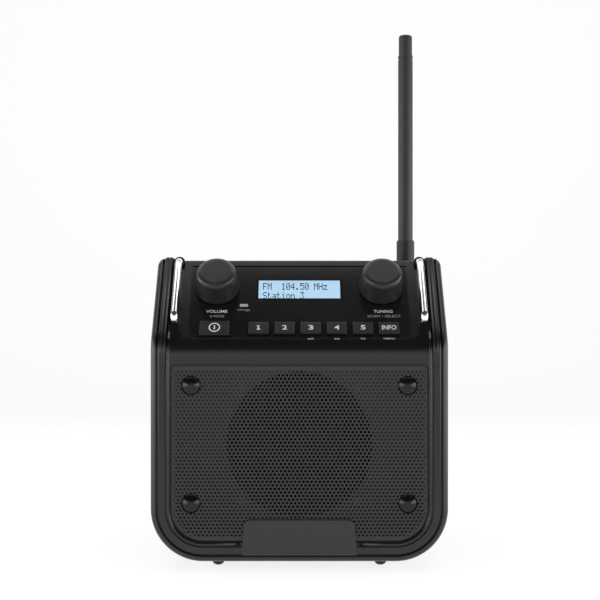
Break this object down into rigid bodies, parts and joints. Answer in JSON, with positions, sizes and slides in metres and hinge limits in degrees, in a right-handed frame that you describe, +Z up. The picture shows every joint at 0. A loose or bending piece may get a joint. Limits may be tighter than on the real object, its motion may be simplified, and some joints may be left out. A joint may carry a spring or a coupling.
{
  "type": "jobsite radio",
  "caption": "Portable jobsite radio: leaning control panel with knobs, buttons and lit display over a perforated speaker grille, round bar handle, whip antenna and rear battery bay.",
  "frame": {"origin": "on the ground under the middle of the radio's bounding box", "axes": "+X to the right of someone facing the front, +Y to the rear, +Z up"},
  "size_m": [0.2368, 0.1952, 0.4582],
  "materials": {
    "case_plastic": "fine-grained black moulding",
    "bezel_plastic": "satin black moulding",
    "fascia_plastic": "fine-grained black insert",
    "button_rubber": "matt black with white legends",
    "knob_plastic": "soft black",
    "chrome_rod": "polished",
    "black_rubber": "soft black",
    "antenna_rubber": "satin black",
    "grille_steel": "black powder coat",
    "black_screw": "glossy black",
    "plate_metal": "dark satin",
    "clear_window": "clear",
    "display_cell": "backlit pale blue",
    "module_plastic": "white backlight frame",
    "silicone": "grey translucent",
    "light_lens": "frosted",
    "board": "green solder mask",
    "plated_steel": "zinc plated",
    "jack_metal": "nickel plated",
    "foam": "closed-cell foam",
    "cloth": "black mesh cloth",
    "cone_paper": "black pulp",
    "spider_cloth": "resin-stiffened cloth",
    "copper": "enamelled wire",
    "ferrite": "sintered",
    "cell_wrap": "plain printed sleeve",
    "fin_metal": "extruded",
    "ribbon": "flat cable",
    "can_sleeve": "dark blue sleeve",
    "socket_black": "black"
  },
  "bodies": {
    "radio": {"antenna_socket": "jack_metal", "audio_inlet": "socket_black", "battery_cells": "cell_wrap", "battery_contacts": "plated_steel", "capacitors": "can_sleeve", "case_screws": "plated_steel", "charge_light_lens": "light_lens", "circuit_boards": "board", "control_fascia": "fascia_plastic", "display_glass": "display_cell", "display_module": "module_plastic", "display_window": "clear_window", "dust_cap": "cone_paper", "dust_cloth": "cloth", "encoders": "plated_steel", "feet": "black_rubber", "flap_pin": "plated_steel", "foam_seals": "foam", "front_bezel": "bezel_plastic", "grille_studs": "black_screw", "handle_grip": "black_rubber", "handle_nuts": "plated_steel", "handle_sleeves": "black_rubber", "heat_sink": "fin_metal", "keypad_mat": "silicone", "name_plate": "plate_metal", "power_inlet": "socket_black", "rear_case": "case_plastic", "ribbon_cable": "ribbon", "roll_bar_handle": "chrome_rod", "small_screws": "plated_steel", "speaker_cone": "cone_paper", "speaker_frame": "plated_steel", "speaker_grille": "grille_steel", "speaker_magnet": "ferrite", "speaker_yoke": "plated_steel", "spider": "spider_cloth", "surround": "foam", "tuner_shield": "plated_steel", "voice_coil": "copper"},
    "power_button": {"power_button": "button_rubber"},
    "preset_button_1": {"preset_button_1": "button_rubber"},
    "preset_button_2": {"preset_button_2": "button_rubber"},
    "preset_button_3": {"preset_button_3": "button_rubber"},
    "preset_button_4": {"preset_button_4": "button_rubber"},
    "preset_button_5": {"preset_button_5": "button_rubber"},
    "info_button": {"info_button": "button_rubber"},
    "volume_push": {"volume_plunger": "plated_steel"},
    "volume_turn": {"volume_knob": "knob_plastic", "volume_shaft": "plated_steel"},
    "tuning_push": {"tuning_plunger": "plated_steel"},
    "tuning_turn": {"tuning_knob": "knob_plastic", "tuning_shaft": "plated_steel"},
    "antenna": {"antenna_collar": "antenna_rubber", "antenna_mast": "antenna_rubber", "antenna_tip": "antenna_rubber"},
    "cover": {"battery_cover": "case_plastic"},
    "screw_left": {"cover_screw_left": "black_screw"},
    "screw_right": {"cover_screw_right": "black_screw"},
    "flap": {"socket_flap": "black_rubber"}
  },
  "joints": [
    {"name": "power_button_press", "type": "slide", "parent": "radio", "child": "power_button", "axis": [0, 0.766, -0.6428], "range_m": [0, 0.001], "stiffness_N_per_m": 800, "springref_m": -0.0005},
    {"name": "preset_button_1_press", "type": "slide", "parent": "radio", "child": "preset_button_1", "axis": [0, 0.766, -0.6428], "range_m": [0, 0.001], "stiffness_N_per_m": 800, "springref_m": -0.0005},
    {"name": "preset_button_2_press", "type": "slide", "parent": "radio", "child": "preset_button_2", "axis": [0, 0.766, -0.6428], "range_m": [0, 0.001], "stiffness_N_per_m": 800, "springref_m": -0.0005},
    {"name": "preset_button_3_press", "type": "slide", "parent": "radio", "child": "preset_button_3", "axis": [0, 0.766, -0.6428], "range_m": [0, 0.001], "stiffness_N_per_m": 800, "springref_m": -0.0005},
    {"name": "preset_button_4_press", "type": "slide", "parent": "radio", "child": "preset_button_4", "axis": [0, 0.766, -0.6428], "range_m": [0, 0.001], "stiffness_N_per_m": 800, "springref_m": -0.0005},
    {"name": "preset_button_5_press", "type": "slide", "parent": "radio", "child": "preset_button_5", "axis": [0, 0.766, -0.6428], "range_m": [0, 0.001], "stiffness_N_per_m": 800, "springref_m": -0.0005},
    {"name": "info_button_press", "type": "slide", "parent": "radio", "child": "info_button", "axis": [0, 0.766, -0.6428], "range_m": [0, 0.001], "stiffness_N_per_m": 800, "springref_m": -0.0005},
    {"name": "volume_push", "type": "slide", "parent": "radio", "child": "volume_push", "axis": [0, 0.766, -0.6428], "range_m": [0, 0.001], "stiffness_N_per_m": 1500, "springref_m": -0.001},
    {"name": "volume_turn", "type": "hinge", "parent": "volume_push", "child": "volume_turn", "pos_m": [-0.0673, -0.05637, 0.22306], "axis": [0, -0.766, 0.6428], "continuous": true},
    {"name": "tuning_push", "type": "slide", "parent": "radio", "child": "tuning_push", "axis": [0, 0.766, -0.6428], "range_m": [0, 0.001], "stiffness_N_per_m": 1500, "springref_m": -0.001},
    {"name": "tuning_turn", "type": "hinge", "parent": "tuning_push", "child": "tuning_turn", "pos_m": [0.0673, -0.05637, 0.22306], "axis": [0, -0.766, 0.6428], "continuous": true},
    {"name": "antenna_turn", "type": "hinge", "parent": "radio", "child": "antenna", "pos_m": [0.098, 0.0734, 0.2451], "axis": [0, 0, 1], "range_deg": [0, 90]},
    {"name": "cover_off", "type": "slide", "parent": "radio", "child": "cover", "axis": [0, 1, 0], "range_m": [0, 0.06]},
    {"name": "screw_left_turn", "type": "hinge", "parent": "cover", "child": "screw_left", "pos_m": [-0.055, 0.0904, 0.0936], "axis": [0, 1, 0], "continuous": true},
    {"name": "screw_right_turn", "type": "hinge", "parent": "cover", "child": "screw_right", "pos_m": [0.055, 0.0904, 0.0936], "axis": [0, 1, 0], "continuous": true},
    {"name": "flap_open", "type": "hinge", "parent": "radio", "child": "flap", "pos_m": [-0.071, 0.0934, 0.1415], "axis": [1, 0, 0], "range_deg": [0, 100]}
  ]
}
